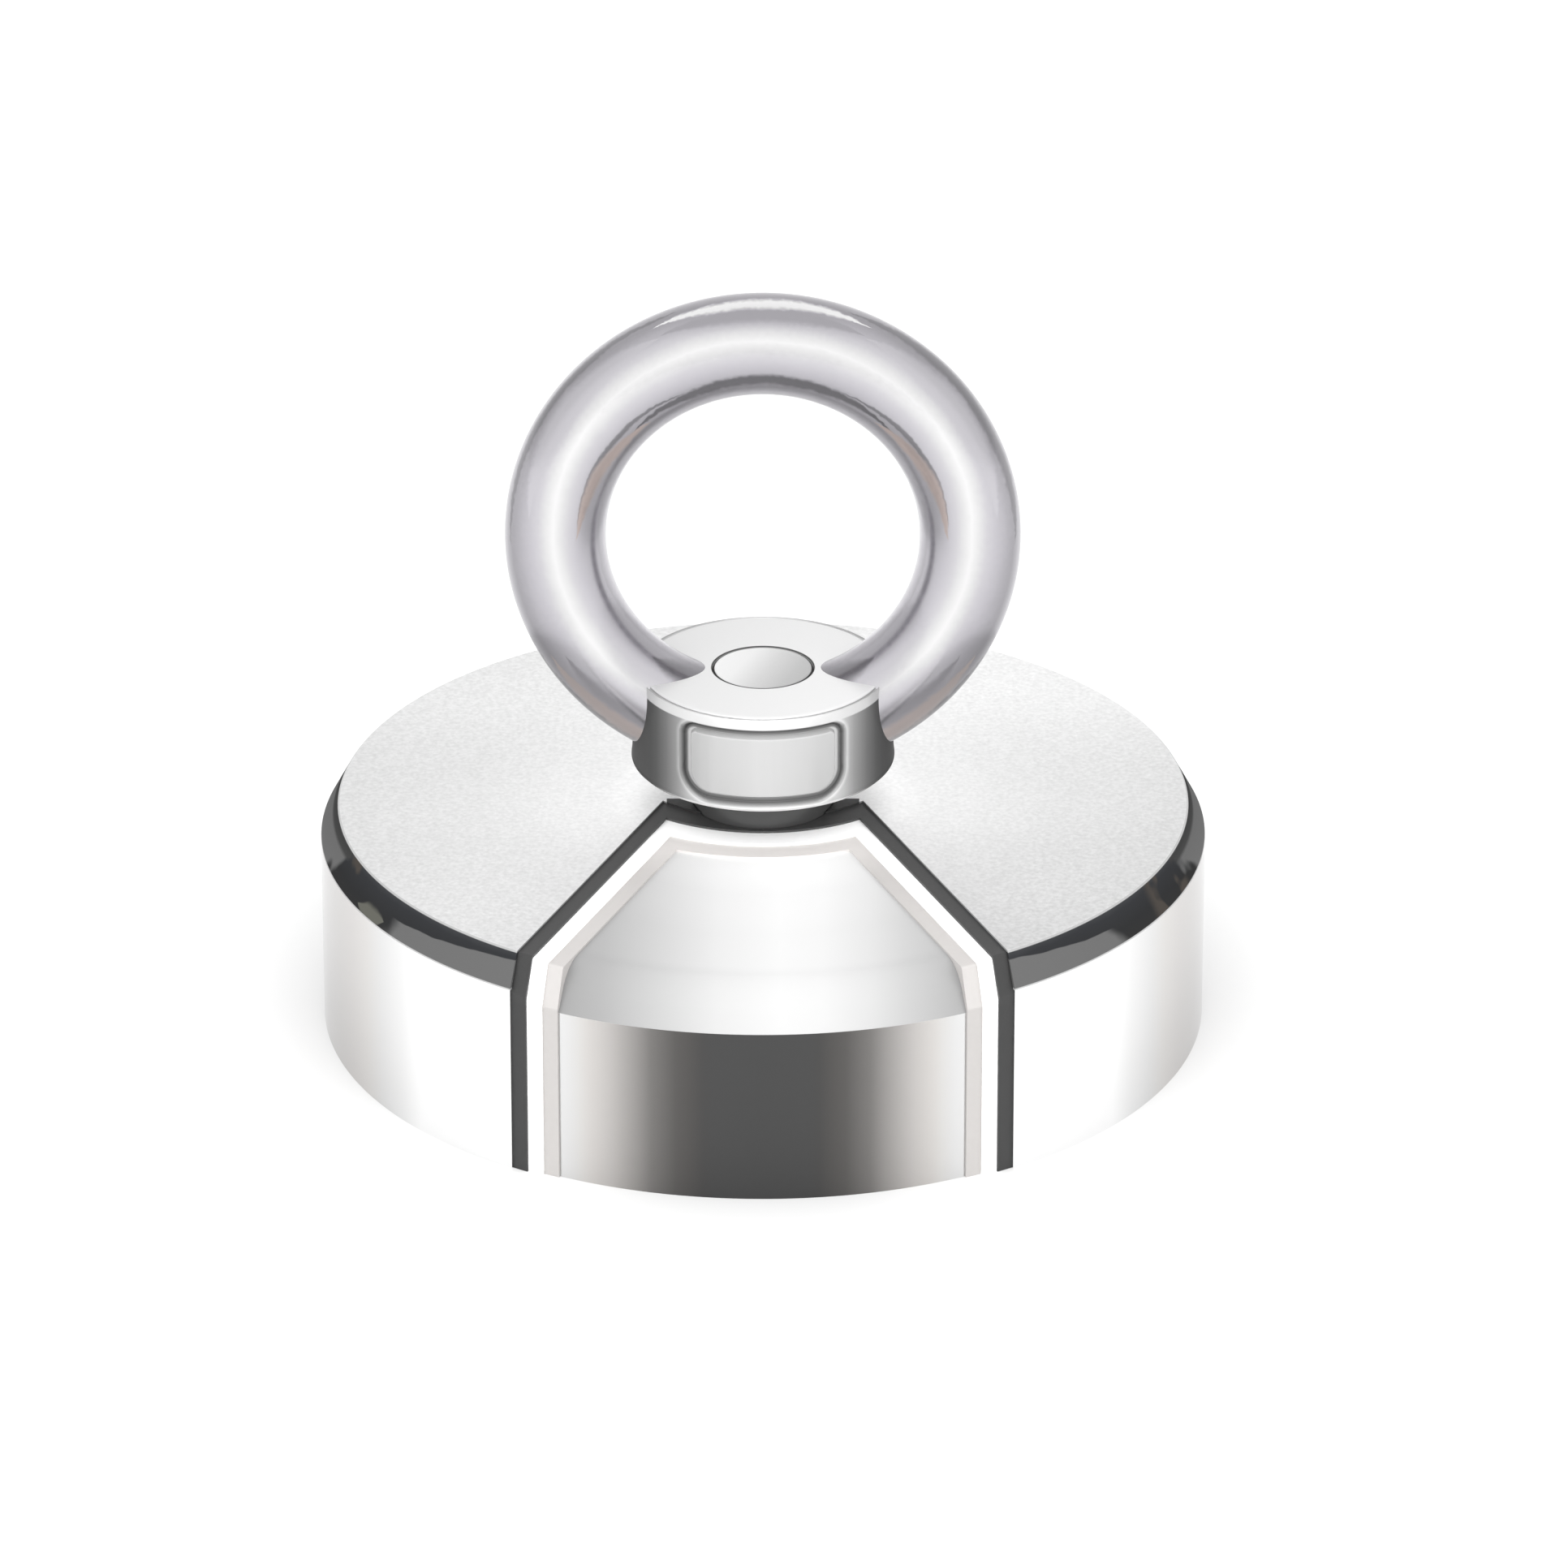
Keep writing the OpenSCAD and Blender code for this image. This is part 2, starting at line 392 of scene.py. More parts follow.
def thread_ridge(height, angle):
    """How far a thread stands out: its depth times the wave, fading in and out over a short height."""
    fade_in = np.clip((height - CORE_H) / THREAD_FADE_IN, 0, 1)
    fade_out = np.clip((THREAD_TO - 0.2 - height) / THREAD_FADE_OUT, 0, 1)
    depth = (THREAD_R - ROOT_R) * np.minimum(fade_in, fade_out)
    return depth[:, None] * thread_wave(height[:, None], angle)


def hexagon_radius(angle, width):
    """Radius of a hexagon's edge: (width / 2) / cos of the angle from the nearest side's middle."""
    sixth = math.pi / 3
    return width / 2 / np.cos((angle + sixth / 2) % sixth - sixth / 2)


def screw_shell(columns=192):
    """The countersunk screw: socket, cone, shank and a thread that fades out below the end."""
    angle = np.linspace(0, 2 * math.pi, columns, endpoint=False)
    hexagon = hexagon_radius(angle, SOCKET_W)
    cone_z = HEAD_BACK + HEAD_RIM + HEAD_R - SHANK_R
    floor_z = HEAD_BACK + SOCKET_DEPTH
    # Socket from its cone-shaped floor out to its mouth, whose edge is slightly broken
    socket = [(0 * angle, floor_z + 0.6), (0.97 * hexagon, floor_z), (hexagon, floor_z - 0.1),
              (hexagon, HEAD_BACK + 0.2), (hexagon + 0.04, HEAD_BACK + 0.06),
              (hexagon + 0.2, HEAD_BACK)]
    head = rounded_line([(HEAD_R / 2, HEAD_BACK), (HEAD_R, HEAD_BACK), (HEAD_R, HEAD_BACK + HEAD_RIM),
                         (SHANK_R, cone_z), (SHANK_R, THREAD_FROM)], [0.12, 0.08, 0.5])
    thread_z = np.linspace(THREAD_FROM, THREAD_TO, THREAD_ROWS + 1)[1:]
    neck = np.where(thread_z < CORE_H, SHANK_R, ROOT_R)
    threaded = neck[:, None] + thread_ridge(thread_z, angle)
    end = rounded_line([(ROOT_R, THREAD_TO), (ROOT_R, COLLAR_TOP_Z - 0.01), (0, COLLAR_TOP_Z)], [0.2])
    radius = np.vstack([np.stack([np.broadcast_to(r, angle.shape) for r, z in socket]),
                        np.repeat(head[1:, :1], columns, 1), threaded,
                        np.repeat(end[1:, :1], columns, 1)])
    height = np.concatenate([[z for r, z in socket], head[1:, 1], thread_z, end[1:, 1]])
    points = around(radius, height[:, None], angle)
    return points, grid_faces(len(height), columns, False, True)


# Eye nut

def rounded_box_distance(x, z, half_w, low, high, low_r, high_r):
    """Signed distance to a box with rounded corners, of one radius at its foot and one at its top.

    With q = |p| - half size + radius: min(max(q), 0) + length of max(q, 0) - radius.
    """
    middle = (low + high) / 2
    radius = np.where(z < middle, low_r, high_r)
    qx = np.abs(x) - half_w + radius
    qz = np.abs(z - middle) - (high - low) / 2 + radius
    outside = np.hypot(np.maximum(qx, 0), np.maximum(qz, 0))
    return np.minimum(np.maximum(qx, qz), 0) + outside - radius


def groove_depth(x, z):
    """Depth of the groove that frames the panel: full within its width, with sides that roll off."""
    away = rounded_box_distance(x, z, PANEL_W / 2 - GROOVE_W / 2, PANEL_LIFT + GROOVE_W / 2,
                                PANEL_LIFT + PANEL_H - GROOVE_W / 2,
                                PANEL_FOOT_R - GROOVE_W / 2, PANEL_TOP_R - GROOVE_W / 2)
    share = np.clip((GROOVE_W / 2 + GROOVE_ROLL - np.abs(away)) / (2 * GROOVE_ROLL), 0, 1)
    return GROOVE_DEPTH * share ** 2 * (3 - 2 * share)


def stepped(stops):
    """Values from the first stop on, each stretch (end, step) filled with steps of about that size."""
    values = [np.array([stops[0]])]
    start = stops[0]
    for end, step in stops[1:]:
        count = max(1, round(abs(end - start) / step))
        values.append(np.linspace(start, end, count + 1)[1:])
        start = end
    return np.concatenate(values)


def collar_shell():
    """The collar with its seat, panel and bore: a radius for each row and angle, a height per row.

    The wall's radius is that of its taper less the groove's depth, taken at x = radius sin a.
    """
    panel_edge = math.asin((PANEL_W / 2 + 0.15) / COLLAR_R)
    corner_edge = math.asin((PANEL_W / 2 - PANEL_FOOT_R - 0.1) / COLLAR_R)
    # Columns and rows lie closer together where the groove is
    half = stepped([0, (corner_edge, 0.03), (panel_edge, 0.007), (math.pi, 0.025)])
    angle = np.concatenate([-half[:0:-1], half[:-1]])
    foot_z = COLLAR_Z + FOOT_BEVEL
    top_z = COLLAR_TOP_Z
    under = rounded_line([(ROOT_R + 0.5, CORE_H), (SEAT_R, CORE_H), (SEAT_R, COLLAR_Z),
                          (COLLAR_R - FOOT_BEVEL, COLLAR_Z), (COLLAR_R, foot_z),
                          (COLLAR_R - 0.005, foot_z + 0.2)], [0.1, 0.15, 0.12, 0.2])
    low = PANEL_LIFT - 0.15
    wall_z = COLLAR_Z + stepped([low, (PANEL_LIFT + PANEL_FOOT_R + 0.1, 0.06),
                                 (PANEL_LIFT + PANEL_H - PANEL_TOP_R - 0.1, 0.25),
                                 (PANEL_LIFT + PANEL_H + 0.15, 0.06)])
    slope = (COLLAR_R - COLLAR_TOP_R) / (COLLAR_H - COLLAR_BEVEL_H - FOOT_BEVEL)
    wall_r = COLLAR_R - slope * (wall_z - foot_z)
    groove = groove_depth(wall_r[:, None] * np.sin(angle), wall_z[:, None] - COLLAR_Z)
    wall = wall_r[:, None] - groove * (np.cos(angle) > 0)
    over = rounded_line([(wall_r[-1], wall_z[-1]), (COLLAR_TOP_R, top_z - COLLAR_BEVEL_H),
                         (COLLAR_TOP_R - COLLAR_BEVEL, top_z),
                         (ROOT_R + THREAD_CLEAR, top_z),
                         (ROOT_R + THREAD_CLEAR, THREAD_TO)], [0.12, 0.2, 0.04])
    bore_z = np.linspace(THREAD_TO, CORE_H, THREAD_ROWS + 1)[1:]
    bore = ROOT_R + THREAD_CLEAR + thread_ridge(bore_z, angle)
    columns = len(angle)
    radius = np.vstack([np.repeat(under[:, :1], columns, 1), wall,
                        np.repeat(over[1:, :1], columns, 1), bore])
    height = np.concatenate([under[:, 1], wall_z, over[1:, 1], bore_z])
    points = around(radius, height[:, None], angle)
    return points, grid_faces(len(height), columns, True, True)


def eye_shell(along=300, across=96):
    """The eye's round bar, from inside one side of the collar round to inside the other.

    Its centre line is (R sin p, 0, eye centre - R cos p), with p measured from straight down. A
    point of the skin lies one bar radius from it, at (cos a) outwards and (sin a) to the front.
    """
    ring_r = EYE_R + BAR_R
    buried = math.radians(20)
    p = np.linspace(buried, 2 * math.pi - buried, along)
    a = np.linspace(0, 2 * math.pi, across, endpoint=False)
    outwards = np.stack([np.sin(p), 0 * p, -np.cos(p)], -1)
    centre = ring_r * outwards + [0, 0, EYE_Z]
    skin = (centre[:, None] + BAR_R * np.cos(a)[None, :, None] * outwards[:, None]
            + BAR_R * np.sin(a)[None, :, None] * np.array([0, -1, 0]))
    first = np.repeat(centre[:1, None], across, 1)
    last = np.repeat(centre[-1:, None], across, 1)
    points = np.concatenate([first, skin, last])
    return points, grid_faces(along + 2, across, False, True)


# Materials

def colour(value, level=1):
    """A socket as it is, or a colour from a grey or three numbers, times a level."""
    if isinstance(value, bpy.types.NodeSocket):
        return value
    if isinstance(value, (int, float)):
        value = (value, value, value)
    return (*[part * level for part in value], 1)


class Finish:
    """A material made of nodes, with one short call for each kind of node that is used here."""

    def __init__(self, name, metallic, roughness):
        self.material = bpy.data.materials.new(name)
        self.material.use_nodes = True
        self.tree = self.material.node_tree
        self.shader = self.tree.nodes["Principled BSDF"]
        self.shader.inputs["Metallic"].default_value = metallic
        self.shader.inputs["Roughness"].default_value = roughness
        self.place = self.tree.nodes.new("ShaderNodeTexCoord").outputs["Object"]
        split = self.tree.nodes.new("ShaderNodeSeparateXYZ")
        self.join(self.place, split.inputs[0])
        # Object coordinates in millimetres
        self.x = self.math("MULTIPLY", split.outputs["X"], 1 / MM)
        self.y = self.math("MULTIPLY", split.outputs["Y"], 1 / MM)
        self.z = self.math("MULTIPLY", split.outputs["Z"], 1 / MM)

    def join(self, value, socket):
        """Puts a socket's output, or a plain value, into a socket."""
        if isinstance(value, bpy.types.NodeSocket):
            self.tree.links.new(value, socket)
        else:
            socket.default_value = value

    def shade(self, **inputs):
        """Sets the shader's own sockets by name: base_color, metallic, roughness, specular_tint."""
        for name, value in inputs.items():
            self.join(value, self.shader.inputs[name.replace("_", " ").title()])

    def math(self, operation, *values):
        """One step of arithmetic on sockets and plain values."""
        node = self.tree.nodes.new("ShaderNodeMath")
        node.operation = operation
        for value, socket in zip(values, node.inputs):
            self.join(value, socket)
        return node.outputs[0]

    def sum(self, *values):
        """Adds up products, each given as a tuple of its factors, and plain values."""
        total = None
        for value in values:
            if isinstance(value, tuple):
                product = value[0]
                for factor in value[1:]:
                    product = self.math("MULTIPLY", product, factor)
                value = product
            total = value if total is None else self.math("ADD", total, value)
        return total

    def spread(self, value, low, high, to_low=0, to_high=1, smooth=True):
        """Maps low..high onto to_low..to_high and stays there outside."""
        node = self.tree.nodes.new("ShaderNodeMapRange")
        node.interpolation_type = "SMOOTHSTEP" if smooth else "LINEAR"
        for number, wanted in enumerate((value, low, high, to_low, to_high)):
            self.join(wanted, node.inputs[number])
        return node.outputs[0]

    def within(self, value, low, high, edge):
        """1 between low and high, falling to 0 over the edge's width outside."""
        return self.math("MULTIPLY", self.spread(value, low - edge, low),
                         self.spread(value, high + edge, high))

    def lens(self, along, across, middle, half, place, thick, soft=0.4):
        """1 in a lens that lies at a place across and thins out to both ends along.

        With s = 1 - ((along - middle) / half)^2, it is 1 where |across - place| / (thick s) is
        under 1 - soft and 0 where it is over 1 + soft.
        """
        away = self.math("DIVIDE", self.math("SUBTRACT", along, middle), half)
        thin = self.math("SUBTRACT", 1, self.math("MULTIPLY", away, away))
        thin = self.math("MULTIPLY", self.math("MAXIMUM", thin, 0.001), thick)
        off = self.math("ABSOLUTE", self.math("SUBTRACT", across, place))
        return self.spread(self.math("DIVIDE", off, thin), 1 + soft, 1 - soft)

    def blend(self, share, first, second):
        """The first colour where share is 0, the second where it is 1.

        Inputs 6 and 7 and output 2 are the ones that a Mix node has for colours.
        """
        node = self.tree.nodes.new("ShaderNodeMix")
        node.data_type = "RGBA"
        self.join(share, node.inputs[0])
        self.join(colour(first), node.inputs[6])
        self.join(colour(second), node.inputs[7])
        return node.outputs[2]

    def tinted(self, base, factor):
        """A colour times another colour, a grey or three numbers."""
        node = self.tree.nodes.new("ShaderNodeMix")
        node.data_type = "RGBA"
        node.blend_type = "MULTIPLY"
        node.inputs[0].default_value = 1
        self.join(base, node.inputs[6])
        self.join(colour(factor), node.inputs[7])
        return node.outputs[2]

    def bands(self, value, stops, level=1):
        """Colours along a value, from stops of (value, colour) in rising order."""
        low = stops[0][0]
        high = stops[-1][0]
        node = self.tree.nodes.new("ShaderNodeValToRGB")
        self.join(self.spread(value, low, high, smooth=False), node.inputs[0])
        elements = node.color_ramp.elements
        while len(elements) < len(stops):
            elements.new(0.5)
        for element, (at, shade) in zip(elements, stops):
            element.position = (at - low) / (high - low)
            element.color = colour(shade, level)
        return node.outputs[0]

    def noise(self, size, detail=2, stretch=(1, 1, 1)):
        """Noise whose blotches are about this many millimetres across."""
        mapping = self.tree.nodes.new("ShaderNodeMapping")
        self.join(self.place, mapping.inputs[0])
        mapping.inputs["Scale"].default_value = stretch
        node = self.tree.nodes.new("ShaderNodeTexNoise")
        self.join(mapping.outputs[0], node.inputs["Vector"])
        node.inputs["Scale"].default_value = 1 / (size * MM)
        node.inputs["Detail"].default_value = detail
        return node.outputs[0]

    def waver(self, size, detail=2, stretch=(1, 1, 1)):
        """Noise that swings about 0, to waver an edge or a tone."""
        return self.math("SUBTRACT", self.noise(size, detail, stretch), 0.5)

    def angle(self):
        """Angle from the front, 0 to pi on both sides."""
        return self.math("ABSOLUTE", self.math("ARCTAN2", self.x, self.math("MULTIPLY", self.y, -1)))

    def radius(self):
        """Distance from the screw's axis."""
        return self.math("SQRT", self.sum((self.x, self.x), (self.y, self.y)))

    def bump_from(self, height, depth):
        """Bumps of this depth in millimetres from a height of 0 to 1."""
        node = self.tree.nodes.new("ShaderNodeBump")
        node.inputs["Strength"].default_value = 1
        node.inputs["Distance"].default_value = depth * MM
        self.join(height, node.inputs["Height"])
        self.join(node.outputs[0], self.shader.inputs["Normal"])


def satin_top_with_painted_light(finish, grain):
    """Fine grain, with painted light: lighter round the nut and to the back, darker to the front right."""
    # Painted light: lighter round the nut, against the shade it casts, and darker towards the rim
    tone = finish.bands(finish.radius(), [(8.4, 1.3), (9.6, 1.18), (10.3, 1.09), (11, 1.02), (12, 0.97),
                                          (16, 0.84), (20, 0.76), (28, 0.69), (30, 0.68)])
    # Painted shade towards the front right, and painted light towards the back right
    lean = finish.math("MULTIPLY", finish.spread(finish.x, 0, 14), 0.0035)
    tone = finish.sum(tone, (lean, finish.y), (finish.math("SUBTRACT", grain, 0.5), 0.34))
    # Painted light towards the back, and a little towards the front
    depth = finish.math("MULTIPLY", finish.spread(finish.y, 2, 18, 1, 1.14),
                        finish.spread(finish.y, -7, -20, 1, 1.07))
    tone = finish.sum((tone, depth, TOP_LEVEL))
    # Painted shade: a grey line along its rounded edge
    lip = finish.spread(finish.z, POT_H - 0.015, POT_H - 0.035)
    tone = finish.blend(lip, tone, 0.36)
    # In front of the seat the top lies in the collar's shade
    shade = finish.math("MULTIPLY", finish.within(finish.x, -CUT_HALF_W, CUT_HALF_W, 0.05),
                        finish.within(finish.y, -6, -0.45, 0.1))
    return finish.blend(shade, tone, 0.04)


def bevel_painted_reflections(finish, angle):
    """Painted reflections: dark, bluish upwards, with the mirrored patches laid over one after the other.
    """
    foot_z = POT_H - BEVEL_H
    up = finish.spread(finish.z, foot_z, POT_H, smooth=False)
    wave = finish.waver(3.2)
    # Painted reflection: the dark tone, bluish upwards
    tone = finish.bands(finish.sum(up, (wave, 0.25)), [(0, 0.02), (0.35, 0.018), (0.8, 0.023), (1, 0.04)])
    tone = finish.blend(0.35, tone, finish.blend(up, (0.02, 0.02, 0.02), (0.021, 0.024, 0.031)))
    # Painted reflections: brownish blotches near the flanks
    brown = finish.math("MULTIPLY", finish.spread(finish.noise(3.6, 2), 0.5, 0.56),
                        finish.within(angle, 1.1, 1.25, 0.04))
    tone = finish.blend(brown, tone, (0.042, 0.037, 0.033))
    # Painted reflection: one pale patch on the left, beyond the grey field
    patch = finish.lens(finish.sum(angle, (wave, 0.12)), finish.sum(up, (wave, 0.5)), 1.08, 0.07, 0.2, 0.2)
    patch = finish.math("MULTIPLY", patch, finish.spread(finish.x, 1, -1))
    tone = finish.blend(patch, tone, (0.075, 0.075, 0.065))
    # Painted reflections: from the flanks on it is grey below and dark above
    far = finish.bands(up, [(0, 0.09), (0.62, 0.082), (0.72, 0.036), (0.9, 0.03), (1, 0.06)])
    tone = finish.blend(finish.spread(finish.sum(angle, (wave, 0.2), (up, 0.1)), 1.33, 1.36), tone, far)
    # Painted reflection: a flat grey field low down, from the opening to a blunt end
    field_top = finish.sum(finish.spread(angle, 0.5, 1.0, 0.78, 0.46), (wave, 0.14))
    field_end = finish.sum(finish.spread(finish.x, -1, 1, 1.0, 0.92), (up, -0.06), (wave, 0.1))
    field = finish.math("MULTIPLY", finish.spread(finish.math("SUBTRACT", field_top, up), -0.015, 0.02),
                        finish.spread(finish.math("SUBTRACT", field_end, angle), -0.02, 0.02))
    tone = finish.blend(field, tone, 0.087)
    # Painted highlight: a light line along the bevel's lower edge
    rim = finish.within(finish.z, foot_z - 0.06, foot_z + 0.04, 0.04)
    return finish.blend(rim, tone, 0.3)


def mirror_side_painted_reflection(finish, angle):
    """Mirrored white in front; painted reflection falls to a warm grey at the flanks, lighter again
    behind.
    """
    skew = finish.spread(finish.x, -1, 1, 0.02, -0.01)
    return finish.bands(finish.sum(angle, skew),
                        [(0, 1.0), (0.88, 1.0), (0.95, 0.86), (1.03, 0.76), (1.1, (0.7, 0.685, 0.67)),
                         (1.18, (0.63, 0.61, 0.6)), (1.27, (0.58, 0.565, 0.555)),
                         (1.57, (0.49, 0.48, 0.48)), (2.2, 0.62), (math.pi, 0.85)], SIDE_LEVEL)


def bright_coat():
    """The finished outside: satin top with painted light, matt bevel with painted reflections, mirror
    side.
    """
    finish = Finish("bright_coat", 1, 0.1)
    grain = finish.noise(0.3, 4)
    angle = finish.angle()
    on_bevel = finish.spread(finish.z, POT_H - BEVEL_H - 0.08, POT_H - BEVEL_H)
    on_top = finish.spread(finish.z, POT_H - 0.16, POT_H - 0.1)
    only_bevel = finish.math("SUBTRACT", on_bevel, on_top)
    below = finish.blend(on_bevel, mirror_side_painted_reflection(finish, angle), bevel_painted_reflections(finish, angle))
    finish.shade(base_color=finish.blend(on_top, below, satin_top_with_painted_light(finish, grain)),
                 metallic=finish.sum(1, (only_bevel, -1), (on_top, -0.5)),
                 roughness=finish.spread(on_top, 0, 1, 0.09, 0.45, smooth=False))
    finish.join(finish.spread(only_bevel, 0, 1, 0.5, 0), finish.shader.inputs["Specular IOR Level"])
    finish.bump_from(finish.math("MULTIPLY", grain, on_top), 0.008)
    return finish.material


def coat(name, low, high, roughness, size, depth, near=1, rim=1, upright=1):
    """A matt coat whose colour and surface vary a little with a fine grain.

    Painted light near the nut and painted shade on the upright part each take their own factor, as does
    the part near the rim.
    """
    finish = Finish(name, 0, roughness)
    grain = finish.noise(size, 3)
    paint = finish.blend(grain, low, high)
    radius = finish.radius()
    # Painted light near the nut, against the shade it casts, and painted shade on the upright part
    factor = finish.sum((finish.spread(radius, 6, 15, near, 1), finish.spread(radius, 15, 26, 1, rim),
                         finish.spread(finish.z, EDGE_Z + 0.4, EDGE_Z + 0.1, 1, upright)))
    finish.shade(base_color=finish.tinted(paint, factor),
                 roughness=finish.spread(grain, 0, 1, roughness - 0.05, roughness + 0.05, smooth=False))
    finish.bump_from(grain, depth)
    return finish.material


def dark_coat():
    """Dark grey, a little darker near the rim, with painted light near the nut and painted shade on its
    upright part.
    """
    return coat("dark_coat", 0.024, 0.031, 0.5, 0.3, 0.003,
                near=1.65, rim=0.8, upright=0.93)


def white_coat():
    """Plain white."""
    return coat("white_coat", 0.94, 0.97, 0.55, 0.4, 0.002)


def warm_coat():
    """Warm light grey, with painted light near the nut and painted shade on its upright part."""
    return coat("warm_coat", (0.372, 0.357, 0.348), (0.396, 0.381, 0.372), 0.5, 0.4, 0.002,
                near=1.6, upright=0.93)


def bare_steel():
    """The bare core: a painted highlight in the middle of its top, a painted dark reflection in the middle
    of its side.
    """
    finish = Finish("bare_steel", 1, 0.3)
    grain = finish.noise(0.25, 3)
    # Painted light across the top: lightest just right of the middle, greyer to both sides
    top = finish.bands(finish.x, [(-16, 0.42), (-12.4, 0.49), (-10.5, 0.54), (-3, 0.9), (1.2, 1.0),
                                  (4, 0.97), (7.2, 0.85), (9.5, 0.71), (12.5, 0.57), (16, 0.5)])
    # The nut takes light from the near end and the shoulder catches more, and both are evened out
    even_out = finish.bands(finish.radius(), [(9, 0.78), (14, 0.65), (20, 0.58), (25, 0.56), (26.1, 0.53),
                                              (27.3, 0.475), (28.2, 0.45), (29.4, 0.44)])
    top = finish.math("MULTIPLY", top, even_out)
    # Painted reflection on the side: dark in the middle, lighter and warmer towards the flanks
    off_middle = finish.math("ABSOLUTE", finish.sum(finish.x, 0.1))
    side = finish.bands(off_middle, [(0, 0.082), (3.8, 0.084), (5.6, 0.118), (7.2, 0.2), (10.2, 0.54),
                                     (12, 0.7), (13.6, 0.8)], SIDE_LEVEL)
    side = finish.blend(finish.within(off_middle, 5, 11, 2), side,
                        finish.tinted(side, (1.02, 0.985, 0.955)))
    on_side = finish.spread(finish.z, EDGE_Z + 0.02, EDGE_Z - 0.02)
    finish.shade(base_color=finish.blend(on_side, top, side),
                 metallic=finish.spread(on_side, 0, 1, 0.15, 1, smooth=False),
                 roughness=finish.spread(on_side, 0, 1, 0.5, 0.26, smooth=False))
    finish.bump_from(grain, 0.0006)
    return finish.material


def magnet_metal():
    """The magnet's plating, seen only from below."""
    finish = Finish("magnet_metal", 1, 0.3)
    grain = finish.noise(0.5, 3)
    finish.shade(base_color=finish.blend(grain, (0.45, 0.45, 0.46), (0.58, 0.58, 0.6)),
                 roughness=finish.spread(grain, 0, 1, 0.25, 0.4, smooth=False))
    finish.bump_from(grain, 0.004)
    return finish.material


def cast_resin():
    """Black cast resin with a soft gloss and a wavy face."""
    return coat("cast_resin", 0.012, 0.022, 0.25, 1.5, 0.03)


def screw_metal():
    """The screw: painted light on its end, light on the left to grey on the right, in a painted dark line
    of shade.
    """
    finish = Finish("screw_metal", 1, 0.3)
    grain = finish.noise(0.2, 3)
    # Painted light across the end
    end = finish.bands(finish.sum(finish.x, (finish.y, -0.4)),
                       [(-4, 0.92), (-1.6, 0.86), (0.4, 0.66), (2.4, 0.52), (4, 0.46)], TOP_LEVEL)
    on_end = finish.spread(finish.z, COLLAR_TOP_Z - 0.3, COLLAR_TOP_Z - 0.2)
    # Painted shade: a dark line round the end's edge
    rim = finish.math("MULTIPLY", finish.spread(finish.radius(), ROOT_R - 0.1, ROOT_R - 0.05), on_end)
    finish.shade(base_color=finish.blend(on_end, 0.6, finish.blend(rim, end, 0.07)),
                 roughness=finish.spread(grain, 0, 1, 0.28, 0.4, smooth=False),
                 metallic=finish.spread(on_end, 0, 1, 1, 0.5))
    finish.bump_from(grain, 0.001)
    return finish.material


def place_across(finish, rise, out):
    """Where a point of the bar lies across it as seen from the front and above: 1 outside, -1 inside.

    With t outwards and f to the front in bar radii, e the height of that view and p the angle from
    the eye's top, the place is (t cos e - f sin e cos p) / sqrt(cos^2 e + sin^2 e cos^2 p).
    """
    cosine = finish.math("DIVIDE", rise, out)
    outwards = finish.math("MULTIPLY", finish.math("SUBTRACT", out, EYE_R + BAR_R), 1 / BAR_R)
    front = finish.math("MULTIPLY", finish.y, -1 / BAR_R)
    sine_e = math.sin(CAMERA_ELEVATION)
    cosine_e = math.cos(CAMERA_ELEVATION)
    length = finish.math("SQRT", finish.sum((cosine, cosine, sine_e ** 2), cosine_e ** 2))
    return finish.math("DIVIDE", finish.sum((outwards, cosine_e), (front, cosine, -sine_e)), length)


